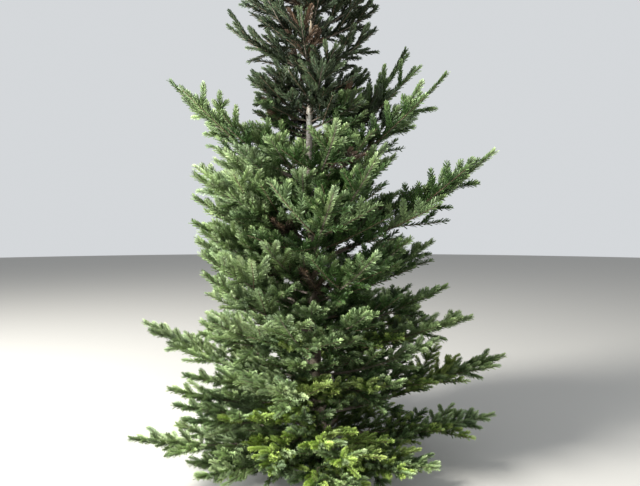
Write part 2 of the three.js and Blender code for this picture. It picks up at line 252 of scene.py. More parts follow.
def weaker_boughs():
    weaker = []

    def add(rule, key, height, azimuth, reach, climb):
        reach = rule.reach * reach * (1 + rule.reach_range * draw(key, 6))
        outward = heading(radians(azimuth), 0)
        for axis in (0, 1):
            edge = CAD_HIGH[axis] if outward[axis] > 0 else CAD_LOW[axis]
            if abs(outward[axis]) > SQUARE_ON:
                reach = min(reach, (abs(edge) - INSIDE_EDGE) / abs(outward[axis]))
        turned = abs((azimuth - BARE_FRONT.azimuth + 180) % 360 - 180)
        if BARE_FRONT.above < height < BARE_FRONT.below and turned < BARE_FRONT.spread:
            return
        weaker.append(Bough(key, height, azimuth, reach, climb))

    def climb_at(height, key):
        return WEAKER_CLIMB.low + WEAKER_CLIMB.more * upsweep_at(height) + WEAKER_CLIMB.range * draw(key, 5)

    for tier, (height, whorl) in enumerate(WHORLS):
        reach = sum(row[1] for row in whorl) / len(whorl)
        azimuths = sorted(row[0] for row in whorl)
        following = azimuths[1:] + azimuths[:1]
        gaps = [((after - before) % 360, before) for before, after in zip(azimuths, following)]
        for i, (gap, before) in enumerate(sorted(gaps, reverse=True)[:EXTRA.counts[tier]]):
            key = EXTRA.key + 10 * tier + i
            azimuth = before + gap * (0.5 + EXTRA.turn_range * draw(key, 3))
            start = height + EXTRA.height_range * draw(key, 4)
            add(EXTRA, key, start, azimuth, reach, climb_at(height, key))
        count = BETWEEN.counts[tier]
        for i in range(count):
            key = BETWEEN.key + 10 * tier + i
            azimuth = 360 * (i + BETWEEN.turn_range * draw(key, 3)) / count
            azimuth = azimuth + BETWEEN.azimuth + BETWEEN.turn * (-1) ** tier
            start = height + (WHORLS[tier + 1][0] - height) * (0.5 + BETWEEN.height_range * draw(key, 4))
            add(BETWEEN, key, start, azimuth, reach, climb_at(start, key))
    for first_key, filling in FILLING.items():
        for i, row in enumerate(filling):
            weaker.append(Bough(first_key + i, *row))
    for i in range(LOWEST.count):
        key = LOWEST.key + i
        azimuth = 360 * (i + LOWEST.turn_range * draw(key, 3)) / LOWEST.count + LOWEST.azimuth
        add(LOWEST, key, LOWEST.height, azimuth, 1, LOWEST.climb)
    return weaker


# How growth differs from place to place

NEEDLE_LENGTH = 0.040
TOP_NEEDLE = 0.88  # share of that length in the top of the crown
LOW_SCALE = 0.76  # size of shoots, needles and their spacing low on the tree, of that at mid height
LOW_HEIGHT = 0.4
MID_HEIGHT = 1.5
TOP_FROM = 2.2  # where the stiff top of the crown, with its painted shade, begins
TOP_SPAN = 0.5  # and the height over which it does
FLOOR_GAP = 0.045  # least height of a twig's tip

# Families of colour. Within is a distance from the trunk, before a place toward the camera.
PLAIN, YELLOWER, FRESH, GREY_AND_SHEEN, SHADED_TOP, DEAD = range(6)
DEAD_ZONES = (
    Values(within=0.20, above=2.3, below=3.3, share=0.15),
    Values(within=0.42, above=1.2, below=3.4, share=0.12),
)
# Near the trunk in the top, sprays take the deep shaded-top tones, which are painted shade
SHADED_TOP_ZONE = Values(within=0.62, above=TOP_FROM + 0.2)
LOW_FRONT = Values(below=0.50, before=-0.35, left=-0.60, right=0.50, share=0.36, shoots=0.12)
# Low on the left, many sprays are grey-green: the needles' own bloom, with painted sheen where the key light
# falls
LOW_LEFT = Values(below=1.0, left=-0.30, share=0.55)
WARM = Values(below=0.90, right=-0.22, share=0.55)
PLAIN_SHARE = Values(left=0.74, right=0.86)  # share of the other sprays on each side that are plain green; the rest are grey-green with painted sheen, more of them on the left, toward the key light

# Lightness, a plain number: in each family of colours the needles with the most of it are the palest. Most of
# it is painted light and shade, set by where light falls on the crown
SIDE_LIGHT = -0.30  # painted shade for each metre toward +X, away from the key light
LOW_LIGHT = 0.06  # painted light at the foot
TOP_LIGHT = -0.30  # painted shade in the top
# Parts of the crown with painted light (paler) and painted shade (deeper) than the rest: by how much, where,
# and how far that reaches
LIT_AND_SHADED_PARTS = [
    (-0.58, (0.16, -0.50, 1.72), (0.46, 0.55, 0.48)),
    (0.40, (0.44, 0.15, 2.46), (0.36, 0.50, 0.34)),
    (0.26, (0.98, -0.10, 0.75), (0.42, 0.80, 0.55)),
    (0.42, (-0.56, -0.42, 0.98), (0.36, 0.70, 0.70)),
    (0.50, (-0.66, -0.50, 0.38), (0.50, 0.70, 0.42)),
]


def is_low_front(point):
    beside = LOW_FRONT.left < point[0] < LOW_FRONT.right
    return beside and point[2] < LOW_FRONT.below and point[1] < LOW_FRONT.before


def kind_at(point, key):
    """Which family of colours a spray belongs to: most are plain green."""
    chance = chance_of(*key, 31)
    inward = hypot(point[0] - TRUNK_SWAY[0] / 2, point[1])
    for zone in DEAD_ZONES:
        if inward < zone.within and zone.above < point[2] < zone.below and chance < zone.share:
            return DEAD
    if inward < SHADED_TOP_ZONE.within and point[2] > SHADED_TOP_ZONE.above:
        return SHADED_TOP
    if is_low_front(point) and chance < LOW_FRONT.share:
        return FRESH
    if point[2] < LOW_LEFT.below and point[0] < LOW_LEFT.left and chance > 1 - LOW_LEFT.share:
        return GREY_AND_SHEEN
    if point[2] < WARM.below and point[0] > WARM.right and chance < WARM.share:
        return YELLOWER
    if chance > (PLAIN_SHARE.left if point[0] < 0 else PLAIN_SHARE.right):
        return GREY_AND_SHEEN
    return PLAIN


def is_fresh(point, key):
    """Whether a single shoot is this year's bright growth, which shows low at the front alone."""
    return is_low_front(point) and chance_of(*key, 33) < LOW_FRONT.shoots


def in_top(height):
    """How far a height lies in the stiff top of the crown, which gets painted shade, from 0 to 1."""
    return min(1, max(0, (height - TOP_FROM) / TOP_SPAN))


def scale_at(height):
    """The size of shoots and needles at a height: they are smaller on the lower boughs."""
    return LOW_SCALE + (1 - LOW_SCALE) * min(1, max(0, (height - LOW_HEIGHT) / (MID_HEIGHT - LOW_HEIGHT)))


def upsweep_at(height):
    """How far the side shoots at a height sweep upward, from 0 low on the tree to 1 from mid height."""
    return (scale_at(height) - LOW_SCALE) / (1 - LOW_SCALE)


def needle_at(height):
    return NEEDLE_LENGTH * scale_at(height) * (1 - (1 - TOP_NEEDLE) * in_top(height))


def painted_light_at(point):
    """How much lighter the needles are painted at a point, for the light and shade that fall there, than they
    are on the whole.
    """
    light = SIDE_LIGHT * point[0] + LOW_LIGHT * max(0, 1 - point[2] / MID_HEIGHT)
    for paler, at, reach in LIT_AND_SHADED_PARTS:
        apart = (point - at) / reach
        light += paler * exp(-np.dot(apart, apart))
    return light


def clear_of_floor(start, forward, length):
    """The direction, turned up where a twig along it would end too near the floor."""
    short = FLOOR_GAP - (start[2] + length * forward[2])
    return forward if short <= 0 else unit(forward + short / length * UP)


# Twigs. Each is a curve from start along forward, bent by curve, that carries needles past its bare share.
# Their order is 0 along a bough, 1 for a lateral, 2 for its shoots and 3 for the prongs of a shoot.

FIELDS = ("start", "forward", "curve", "length", "light", "kind", "order", "bare", "density", "needle")
SHOOT_BARE = 0.04
FINE_FROM_LIGHT = -0.10  # least lightness of a shoot that has prongs, or of a spray that has risers
# A pair of short prongs from the middle of each shoot that is longer than from_length
PRONG = Values(
    from_length=0.175, place=0.48, place_range=0.08, along=0.76, aside=0.62, lift=0.12, lift_range=0.30,
    length=0.060, length_range=0.2, curve=0.12, paler=0.06,
)
# A lateral: its bend, where its colour is looked up, its needles, and how shoots get paler over its end,
# partly as younger growth and partly as painted light on the outer ends
SPRAY = Values(
    forward=0.10, upward=0.05, looked_up=0.7, tone_range=0.14, paler=0.05, bare=0.12, density=0.7,
    end_paler=0.12, end=0.4, top_longer=0.35,
)
# Its side shoots. Upswept values are added where side shoots sweep upward.
SHOOT = Values(
    least=0.080, vigour=1.12, angle_range=0.05, lift=0.20, upswept_lift=0.40, lift_range=0.10,
    rise=0.08, upswept_rise=0.14, curve=0.12,
)
# The shoots that rise from it between them. Where a draw is less than skipped, none does.
RISER = Values(skipped=0.2, upswept_skipped=0.3, along=0.74, upward=0.62, aside=0.25, share=0.72, curve=0.10)

twigs = []


def add_twig(start, forward, curve, length, light, kind, order=2, bare=SHOOT_BARE, density=1.0):
    twigs.append((start, forward, curve, length, light, kind, order, bare, density, needle_at(start[2])))


def on_twig(start, forward, curve, length, t):
    """The point at a share of a twig, and the twig's direction there."""
    return start + length * (t * forward + t * t * curve), unit(forward + 2 * t * curve)


def beside_and_above(forward):
    across = unit(np.cross(forward, UP))
    return across, np.cross(across, forward)


def grow_fingers(start, forward, curve, length, key, light, kind):
    """A shoot and, on a long one, its prongs."""
    forward = clear_of_floor(start, forward, length)
    if kind != DEAD and is_fresh(start + length * forward, key):
        kind = FRESH
    add_twig(start, forward, curve, length, light + painted_light_at(start), kind)
    scale = scale_at(start[2])
    if length < scale * PRONG.from_length or light < FINE_FROM_LIGHT or draw(*key, 12) < 0:
        return
    across, above = beside_and_above(forward)
    root, along = on_twig(start, forward, curve, length, PRONG.place + PRONG.place_range * draw(*key, 8))
    for side in (-1, 1):
        lift = PRONG.lift + PRONG.lift_range * draw(*key, side + 5)
        out = unit(PRONG.along * along + PRONG.aside * side * across + lift * above)
        prong = scale * PRONG.length * (1 + PRONG.length_range * draw(*key, side + 9))
        add_twig(root, out, PRONG.curve * along, prong, light + PRONG.paler + painted_light_at(root), kind, order=3)


def grow_spray(start, forward, toward, length, key, light, vigour=1.0):
    """A lateral with its side shoots nearly in one plane, and finer ones between them that rise from it."""
    forward = clear_of_floor(start, unit(forward), length)
    across, above = beside_and_above(forward)
    curve = SPRAY.forward * toward + SPRAY.upward * above
    kind = kind_at(start + SPRAY.looked_up * length * forward, key)
    light += SPRAY.tone_range * draw(*key, 32)
    own = light + SPRAY.paler + painted_light_at(start)
    add_twig(start, forward, curve, length, own, kind, order=1, bare=SPRAY.bare, density=SPRAY.density)
    scale = scale_at(start[2])
    upsweep = upsweep_at(start[2])
    top_longer = 1 + SPRAY.top_longer * in_top(start[2])
    pairs = max(1, round(length / (scale * SHOOT_PITCH * top_longer)) - 1)
    pitch = length / (pairs + PAST_LAST_SHOOT)
    for pair in range(pairs):
        x = (pair + FIRST_SHOOT) * pitch
        root, along = on_twig(start, forward, curve, length, x / length)
        full = growth(SHOOT_MOST, length - x, SHOOT_GROWTH)
        paler = light + SPRAY.end_paler * (1 - (length - x) / SPRAY.end)
        for side in (-1, 1):
            seed = (*key, side + 1, pair)
            longer = vigour * SHOOT.vigour * top_longer * (1 + LENGTH_RANGE * draw(*seed))
            angle = radians(SHOOT_ANGLE) + SHOOT.angle_range * draw(*seed, 5)
            lift = SHOOT.lift + SHOOT.upswept_lift * upsweep + SHOOT.lift_range * draw(*seed, 6)
            out = unit(cos(angle) * along + sin(angle) * (side * across + lift * above))
            bend = SHOOT.curve * along + (SHOOT.rise + SHOOT.upswept_rise * upsweep) * UP
            grow_fingers(root, out, bend, scale * max(SHOOT.least, longer * full), (*seed, 7), paler, kind)
        seed = (*key, 41, pair)
        if draw(*seed, 9) < RISER.skipped + RISER.upswept_skipped * upsweep or light < FINE_FROM_LIGHT:
            continue
        out = unit(RISER.along * along + RISER.upward * above + RISER.aside * draw(*seed, 2) * across)
        riser = scale * max(SHOOT.least, RISER.share * vigour * full)
        grow_fingers(root, out, RISER.curve * along, riser, seed, paler, kind)


# What grows from a bough. Its last shoot has no side shoots, the stretch behind it has single ones, and the
# rest has sprays.

VIGOROUS = Values(above=1.3, longer=0.80, vigour=1.28)  # long boughs from here up carry longer shoots
LEADING = Values(above=1.85, longer=0.90, more=0.09, duller=0.42)  # the highest end in a longer shoot, with painted shade on it
BARE_TIP = Values(low=0.09, mid=0.18, top_more=0.10)  # share of a bough that its last shoot takes
SINGLE_STRETCH = Values(share=0.24, top_more=0.25)  # and the share behind it that has single shoots
SINGLE = Values(share=0.62, top_longer=0.45, curve=0.05)  # such a shoot's length, of the lateral's there
# The needles along a bough: their lightness and density at the tip, and how much of these goes by the root.
# The lightness lost toward the root is partly older needles and partly painted shade inside the crown
ALONG = Values(light=0.60, deeper=0.55, density=1.2, thinner=0.8, tone_range=0.10)
# Laterals: the same, what they lose on the bare wood inside the crown, and how much of a bough has them.
# Their lightness falls toward the root partly as older needles and partly as painted shade, and the loss
# inside the crown is painted shade
LATERAL = Values(light=0.62, deeper=0.70, inside_deeper=0.15, inside_share=0.7, stretch=0.93)
# Between the solids' laterals, one spray rises from the bough and one hangs from it; the rising one gets
# painted light and the hanging one painted shade
ODD = Values(
    rise=0.32, rise_range=0.15, hang=-0.42, hang_range=0.12, along=0.80, aside=0.60,
    least=0.14, more=0.16, growth=0.40, length_range=0.15, paler=0.05,
)
# Single shoots behind the last one: in turn a pair beside the bough, and one above it with one to a side
TIP = Values(
    pitch=0.068, first=0.095, growth=0.22, top_longer=0.50, narrower=4, top_narrower=6, angle_range=5,
    lift=0.05, upswept_lift=0.45, lift_range=0.20, aside=0.5, drop=0.25, second_share=0.9, curve=0.12,
)


def is_leading(bough):
    return bough.root[2] > LEADING.above and bough.length > LEADING.longer


def bare_and_simple(bough):
    """How far from its tip a bough's side shoots begin, and its sprays."""
    top = in_top(bough.root[2])
    bare = BARE_TIP.low + (BARE_TIP.mid - BARE_TIP.low) * upsweep_at(bough.root[2]) + BARE_TIP.top_more * top
    if is_leading(bough):
        bare += LEADING.more
    return bare * bough.length, (bare + SINGLE_STRETCH.share + SINGLE_STRETCH.top_more * top) * bough.length


def grow_tip(bough, vigour, light):
    """The single shoots behind a bough's last one."""
    top = in_top(bough.root[2])
    bare, simple = bare_and_simple(bough)
    tip = bough.point(bough.length)
    scale = scale_at(tip[2]) * (1 + TIP.top_longer * top)
    upsweep = upsweep_at(tip[2])
    kind = kind_at(bough.point(bough.length - bare), (bough.key, 79))
    from_tip = bare
    place = 0
    while from_tip < simple:
        start = bough.point(bough.length - from_tip)
        along = bough.direction(bough.length - from_tip)
        flat = unit(np.cross(UP, along))
        above = np.cross(along, flat)
        for side in (-1, 1):
            key = (bough.key, 0, 0, side + 1, place)
            turn = SHOOT_ANGLE - TIP.narrower - TIP.top_narrower * top + TIP.angle_range * draw(*key, 2)
            turn = radians(turn)
            length = (TIP.first + TIP.growth * (from_tip - bare)) * (1 + LENGTH_RANGE * draw(*key))
            if place % 2 == 0:
                lift = TIP.lift + TIP.upswept_lift * upsweep + TIP.lift_range * draw(*key, 3)
                beside = side * flat + lift * above
            elif side == -1:
                beside = copysign(1, draw(*key, 5)) * flat - TIP.drop * above
                length *= TIP.second_share
            else:
                beside = TIP.aside * draw(*key, 4) * flat + above
                length *= TIP.second_share
            out = unit(cos(turn) * along + sin(turn) * unit(beside))
            grow_fingers(start, out, TIP.curve * along, scale * vigour * length, key, light, kind)
        from_tip += scale * TIP.pitch
        place += 1


def grow_along(bough, step, light, kind):
    """Needles on the outer part of the bough itself, in stretches of a step."""
    from_tip = 0.0
    while from_tip < bough.leafy:
        stretch = min(step, bough.leafy - from_tip)
        outer, middle, inner = (bough.point(bough.length - from_tip - stretch * part) for part in (0, 0.5, 1))
        length = np.linalg.norm(outer - inner)
        curve = -4 * (middle - (inner + outer) / 2) / length
        forward = (outer - inner) / length - curve
        # Toward the root the needles thin out and deepen: older needles, with painted shade inside the crown
        inward_share = from_tip / bough.leafy
        density = ALONG.density - ALONG.thinner * inward_share
        add_twig(inner, forward, curve, length, light - ALONG.deeper * inward_share, kind, 0, 0.0, density)
        from_tip += stretch


def grow_bough(bough, step, vigour=1.0, tone=0.0):
    """Needles along a bough and its laterals in pairs, of which the even ones are the solids' own."""
    short = bough.length < SHORT_BOUGH
    top = in_top(bough.root[2])
    tone += ALONG.tone_range * draw(bough.key, 77) + TOP_LIGHT * top
    bare, simple = bare_and_simple(bough)
    single = SINGLE.share * (1 + SINGLE.top_longer * top)
    kind = SHADED_TOP if top > 0.5 else PLAIN
    tip_light = ALONG.light + tone - (LEADING.duller if is_leading(bough) else 0)
    grow_along(bough, step, tip_light, kind)
    grow_tip(bough, vigour, tip_light)
    pair = 1
    while pair * step <= LATERAL.stretch * bough.length - 2 * trunk_radius(bough.root[2]):
        inside = pair * step > bough.leafy
        for side in (-1, 1):
            from_tip = (pair - (2 * SECOND_NEARER if side == 1 else 0)) * step
            along = bough.direction(bough.length - from_tip)
            flat = unit(np.cross(UP, along))
            # Lateral lightness: partly older needles toward the root, partly painted shade there and inside
            # the crown
            light = LATERAL.light - LATERAL.deeper * min(1, from_tip / bough.leafy) + tone
            light -= LATERAL.inside_deeper * inside
            if pair % 2 == 0:
                key = (bough.key, pair // 2, side + 1)
                spread = radians(LATERAL_ANGLE + LATERAL_ANGLE_RANGE * draw(*key, 2))
                lift = LATERAL_LIFT + LATERAL_LIFT_RANGE * draw(*key, 3)
                length = LATERAL_LEAST + growth(LATERAL_MOST - LATERAL_LEAST, from_tip, LATERAL_GROWTH)
                length *= 1 + LENGTH_RANGE * draw(*key, 1)
                if inside:
                    length *= LATERAL.inside_share
                direction = cos(spread) * along + side * sin(spread) * flat + lift * UP
            elif pair > 1:
                key = (bough.key, 50 + pair, side + 1)
                rise, rise_range = (ODD.rise, ODD.rise_range) if side == 1 else (ODD.hang, ODD.hang_range)
                rise += rise_range * draw(*key, 2)
                direction = unit(ODD.along * along + ODD.aside * draw(*key, 4) * flat + rise * UP)
                length = ODD.least + growth(ODD.more, from_tip, ODD.growth)
                length *= 1 + ODD.length_range * draw(*key, 3)
                # Painted light on the rising spray, painted shade on the hanging one
                light += ODD.paler * side
            else:
                continue
            start = bough.point(bough.length - from_tip)
            if from_tip > simple and not (short and pair % 2):
                grow_spray(start, direction, along, length * vigour, key, light)
            elif from_tip > bare:
                curve = SINGLE.curve * along
                grow_fingers(start, direction, curve, single * length * vigour, key, light, kind)
        pair += 1


# What grows straight from the trunk

# Sprigs from the trunk. top_deeper is painted shade for those in the top of the crown
SPRIG = Values(
    key=3000, first=0.24, last=3.84, pitch=0.060, pitch_range=0.015, turn=2.39996, turn_range=0.5, sunk=0.8,
    length=0.78, length_range=0.22, climb=28, climb_range=14, light=0.02, top_deeper=0.15, vigour=0.9,
)
SPRIG_REACH = Values(low=0.42, high=0.36, high_from=2.4, short_from=3.3, shorter=0.75)
BARE_TRUNK = Values(above=2.14, below=2.44)  # no sprigs on any side
BARE_TRUNK_FRONT = Values(above=1.90, below=2.50, facing=-0.3)  # and none on the side seen first


def grow_sprigs():
    height = SPRIG.first
    index = 0
    while height < SPRIG.last:
        index += 1
        key = (SPRIG.key, index)
        height += SPRIG.pitch + SPRIG.pitch_range * draw(*key, 1)
        azimuth = SPRIG.turn * index + SPRIG.turn_range * draw(*key, 2)
        faces_front = sin(azimuth) < BARE_TRUNK_FRONT.facing
        if BARE_TRUNK.above < height < BARE_TRUNK.below:
            continue
        if BARE_TRUNK_FRONT.above < height < BARE_TRUNK_FRONT.below and faces_front:
            continue
        reach = SPRIG_REACH.high if height > SPRIG_REACH.high_from else SPRIG_REACH.low
        if height > SPRIG_REACH.short_from:
            reach *= SPRIG_REACH.shorter
        length = reach * (SPRIG.length + SPRIG.length_range * draw(*key, 3))
        direction = heading(azimuth, radians(SPRIG.climb + SPRIG.climb_range * draw(*key, 4)))
        start = trunk_axis(height) + direction * (trunk_radius(height) * SPRIG.sunk)
        light = SPRIG.light - SPRIG.top_deeper * in_top(height)
        grow_spray(start, direction, UP, length, key, light, SPRIG.vigour)


def grow_leader():
    foot = trunk_axis(TRUNK_HEIGHT)
    lean = np.array([LEADER.lean, 0, 1.0])
    light = LEADER.light + painted_light_at(foot)
    add_twig(foot, unit(lean), np.zeros(3), LEADER.length, light, SHADED_TOP, order=1, bare=0.0)
    for number, whorl in enumerate(LEADER_WHORLS):
        for i in range(whorl.count):
            direction = heading(2 * pi * (i + whorl.turn) / whorl.count, radians(whorl.climb))
            key = (LEADER.key + number, i)
            grow_spray(foot + whorl.height * lean, direction, UP, whorl.length, key, LEADER.light)


# Meshes from arrays

UPRIGHT = 0.95  # share of a direction along Z from which X stands in for up


def add_object(name, data):
    made = bpy.data.objects.new(name, data)
    bpy.context.scene.collection.objects.link(made)
    return made


def mesh_object(name, vertices, faces, smooth=False):
    """An object from an array of points and an array of faces that all have as many corners."""
    mesh = bpy.data.meshes.new(name)
    count, corners = faces.shape
    mesh.vertices.add(len(vertices))
    mesh.vertices.foreach_set("co", np.ascontiguousarray(vertices, dtype=np.float32).ravel())
    mesh.loops.add(count * corners)
    mesh.loops.foreach_set("vertex_index", np.ascontiguousarray(faces, dtype=np.int32).ravel())
    mesh.polygons.add(count)
    mesh.polygons.foreach_set("loop_start", np.arange(0, count * corners, corners, dtype=np.int32))
    mesh.polygons.foreach_set("use_smooth", np.full(count, smooth))
    mesh.update(calc_edges=True)
    mesh.validate()
    return add_object(name, mesh)


def units(vectors):
    return vectors / np.maximum(np.linalg.norm(vectors, axis=1, keepdims=True), 1e-9)


def along_twigs(t, twig, index):
    """Points and directions at shares t of the twigs with the indices."""
    start, forward, curve = twig["start"][index], twig["forward"][index], twig["curve"][index]
    length = twig["length"][index][:, None]
    t = t[:, None]
    points = start + length * (t * forward + t * t * curve)
    return points, units(forward + 2 * t * curve)


def frames(tangents):
    """Two directions across each tangent: above, the nearest to upright, and right."""
    upright = np.where(np.abs(tangents[:, 2:3]) > UPRIGHT, np.array([[1.0, 0, 0]]), UP)
    right = units(np.cross(tangents, upright))
    return np.cross(right, tangents), right


def ring_vertices(centres, tangents, radii, sides):
    """A ring of vertices round each centre."""
    above, right = frames(tangents)
    turns = 2 * pi * np.arange(sides) / sides
    ring = np.cos(turns)[None, :, None] * above[:, None] + np.sin(turns)[None, :, None] * right[:, None]
    return (centres[:, None] + radii[:, None, None] * ring).reshape(-1, 3)


def ring_faces(tubes, rings, sides):
    """The triangles between the rings of a number of like tubes, open at both ends."""
    start = (rings * sides * np.arange(tubes))[:, None, None]
    level = (sides * np.arange(rings - 1))[None, :, None]
    a = (start + level + np.arange(sides)).ravel()
    b = (start + level + (np.arange(sides) + 1) % sides).ravel()
    return np.concatenate([np.stack([a, b, b + sides], 1), np.stack([a, b + sides, a + sides], 1)])


def joined(parts):
    """The vertices and faces of all parts, in two arrays."""
    offsets = np.cumsum([0] + [len(vertices) for vertices, _ in parts])
    faces = [triangles + offset for (_, triangles), offset in zip(parts, offsets)]
    return np.concatenate([vertices for vertices, _ in parts]), np.concatenate(faces)


# Needles

NEEDLES_IN_ALL = 480_000
LEAST_NEEDLES = 4  # on a twig
BASE_WIDTH = 0.0048
TIP_WIDTH = 0.0050
LEAST_HEIGHT = 0.002  # of a needle's corner
SLANT = 0.055  # how far a needle's end is cut aslant, of its length
OPENING = 37  # degrees between a needle and its shoot
TOP_OPENING = 29
OPENING_SCATTER = 4
AROUND_SCATTER = 7
NEEDLE_SCATTER = 0.6  # of its place along the shoot, in spacings
END_CROWDING = 0.12
FAN = Values(zone=0.030, closing=0.60, shorter=0.30, paler=0.20)  # how needles turn forward and get shorter at a shoot's end, and the painted highlight they get there
FOOT = Values(zone=0.10, shorter=0.25)  # share of a shoot at its foot that has shorter needles
LENGTHS = Values(least=0.93, more=0.14)
TWIST = 0.30
GOLDEN = 0.6180339887
NEARLY_UPRIGHT = 0.8  # share of a direction along Z from which needles stand evenly all round
# How the needles share out round a shoot: the share of them up to each angle from the top, in degrees
SHARES = (0.0, 0.42, 0.84, 1.0)
SHARE_ANGLES = (0.0, 64.0, 100.0, 155.0)
# How far out a twig counts as from its lightness. Inner ones have fewer and broader needles.
OUTER = Values(at_no_light=0.15, by_light=1.6)
INNER_DENSITY = 0.42
INNER_WIDTH = 1.45
SHOOT_PALER = 0.44  # painted light from a shoot's foot to its end: deeper at the foot, paler at the end
LIGHT_SCATTER = 0.025


def needle_arrays(twig):
    """Each needle's four corners, its twig and its lightness. The corners are needles by corners by axes."""
    outer = np.clip(OUTER.at_no_light + OUTER.by_light * twig["light"], 0, 1)
    density = twig["density"] * (INNER_DENSITY + (1 - INNER_DENSITY) * outer)
    wanted = density * twig["length"] * (1 - twig["bare"])
    counts = np.maximum(LEAST_NEEDLES, np.round(NEEDLES_IN_ALL * wanted / wanted.sum())).astype(int)
    index = np.repeat(np.arange(len(counts)), counts)
    total = len(index)
    rank = np.arange(total) - np.repeat(np.cumsum(counts) - counts, counts)
    share = (rank + 0.5 + NEEDLE_SCATTER * (rng.random(total) - 0.5)) / counts[index]
    share = share + END_CROWDING * share * (1 - share)
    t = twig["bare"][index] + (1 - twig["bare"][index]) * share
    points, tangents = along_twigs(t, twig, index)
    above, right = frames(tangents)

    spiral = (rank * GOLDEN + rng.random(len(counts))[index]) % 1
    hand = np.where(spiral < 0.5, -1.0, 1.0)
    aside = np.abs(2 * spiral - 1)
    is_upright = np.abs(tangents[:, 2]) > NEARLY_UPRIGHT
    around = np.where(is_upright, 180 * aside, np.interp(aside, SHARES, SHARE_ANGLES))
    around = hand * np.radians(around + AROUND_SCATTER * rng.standard_normal(total))
    to_end = (1 - t) * twig["length"][index]
    ending = np.clip(1 - to_end / FAN.zone, 0, 1) * (twig["order"][index] > 0)
    top = np.clip((twig["start"][index, 2] - TOP_FROM) / TOP_SPAN, 0, 1)
    opening = OPENING + (TOP_OPENING - OPENING) * top + OPENING_SCATTER * rng.standard_normal(total)
    opening = np.radians(opening * (1 - FAN.closing * ending**2))
    outward = np.cos(around)[:, None] * above + np.sin(around)[:, None] * right
    pointing = units(np.cos(opening)[:, None] * tangents + np.sin(opening)[:, None] * outward)

    length = twig["needle"][index] * (LENGTHS.least + LENGTHS.more * rng.random(total))
    length = length * (1 - FAN.shorter * ending**2)
    length *= 1 - FOOT.shorter * np.clip((FOOT.zone - share) / FOOT.zone, 0, 1)
    broad = np.cross(tangents, outward)
    face = broad + TWIST * rng.standard_normal((total, 1)) * np.cross(broad, pointing)
    face = units(face - np.sum(face * pointing, axis=1, keepdims=True) * pointing)
    reach = length[:, None] * pointing
    half = np.cross(pointing, face) * (INNER_WIDTH + (1 - INNER_WIDTH) * outer[index])[:, None] / 2
    slant = np.where(rank % 2 == 0, SLANT, -SLANT)[:, None]
    corners = np.stack([
        points - BASE_WIDTH * half,
        points + BASE_WIDTH * half,
        points + (1 - slant) * reach + TIP_WIDTH * half,
        points + (1 + slant) * reach - TIP_WIDTH * half,
    ], axis=1)
    corners[..., 2] = np.maximum(corners[..., 2], LEAST_HEIGHT)
    # Painted light and shade along each shoot: paler toward its end, palest at its tip, deeper at its foot
    light = twig["light"][index] + SHOOT_PALER * (share - 0.5) + FAN.paler * ending
    return corners, index, light + LIGHT_SCATTER * rng.standard_normal(total)


# Tones of each family's needles, from the deepest to the palest by lightness, in equal shares. As lightness
# is mostly painted light and shade, a family's tones are its lit and shaded copies, from painted shade to
# painted highlight
TONES = {
    PLAIN: [
        ("shade", (0.032, 0.070, 0.018)),
        ("deep", (0.064, 0.110, 0.040)),
        ("mid", (0.106, 0.166, 0.068)),
        ("clear", (0.168, 0.246, 0.108)),
        ("pale", (0.240, 0.320, 0.176)),
    ],
    YELLOWER: [
        ("warm_deep", (0.046, 0.088, 0.016)),
        ("warm_mid", (0.105, 0.168, 0.036)),
        ("warm_pale", (0.215, 0.290, 0.088)),
    ],
    GREY_AND_SHEEN: [("grey_sheen_deep", (0.118, 0.182, 0.080)), ("grey_sheen_pale", (0.240, 0.335, 0.170))],
    FRESH: [("fresh_deep", (0.160, 0.245, 0.055)), ("fresh_pale", (0.300, 0.415, 0.110))],
    # Painted shade of the top of the crown, in two depths
    SHADED_TOP: [("shaded_top_deep", (0.018, 0.028, 0.014)), ("shaded_top_pale", (0.060, 0.088, 0.048))],
    DEAD: [("dead_deep", (0.048, 0.036, 0.026)), ("dead_pale", (0.080, 0.053, 0.036))],
}
DEEPER = (0.80, 0.80, 0.80)  # where a tone drifts to on its deep side, channel by channel
LIGHTER = (1.25, 1.18, 1.0)  # and on its light side
FOOT_SHADE = 0.60  # painted shade: share of a needle's colour at its foot
# Painted highlight: share of a needle's colour at its tip
TIP_SHADE = 1.13


def new_material(name, roughness):
    material = bpy.data.materials.new(name)
    material.use_nodes = True
    shader = material.node_tree.nodes["Principled BSDF"]
    shader.inputs["Roughness"].default_value = roughness
    return material, material.node_tree, shader


def node(tree, kind, inputs=None, **settings):
    """A new node's outputs. Its inputs, by name or number, are plain values or outputs of other nodes."""
    made = tree.nodes.new(kind)
    for name, value in settings.items():
        setattr(made, name, value)
    for name, value in (inputs or {}).items():
        if isinstance(value, bpy.types.NodeSocket):
            tree.links.new(value, made.inputs[name])
        else:
            made.inputs[name].default_value = value
    return made.outputs


def noise_node(tree, place, scale, detail, roughness):
    inputs = {"Vector": place, "Scale": scale, "Detail": detail, "Roughness": roughness}
    return node(tree, "ShaderNodeTexNoise", inputs)["Fac"]


def ramp_node(tree, factor, *stops):
    """The colour of a ramp between two stops, each a position and a colour."""
    made = tree.nodes.new("ShaderNodeValToRGB")
    tree.links.new(factor, made.inputs["Fac"])
    for element, (position, colour) in zip(made.color_ramp.elements, stops):
        element.position = position
        element.color = (*colour, 1)
    return made.outputs["Color"]


def mix_node(tree, factor, a, b, **settings):
    inputs = {"Factor": factor, "A": a, "B": b}
    return node(tree, "ShaderNodeMix", inputs, data_type="RGBA", **settings)["Result"]


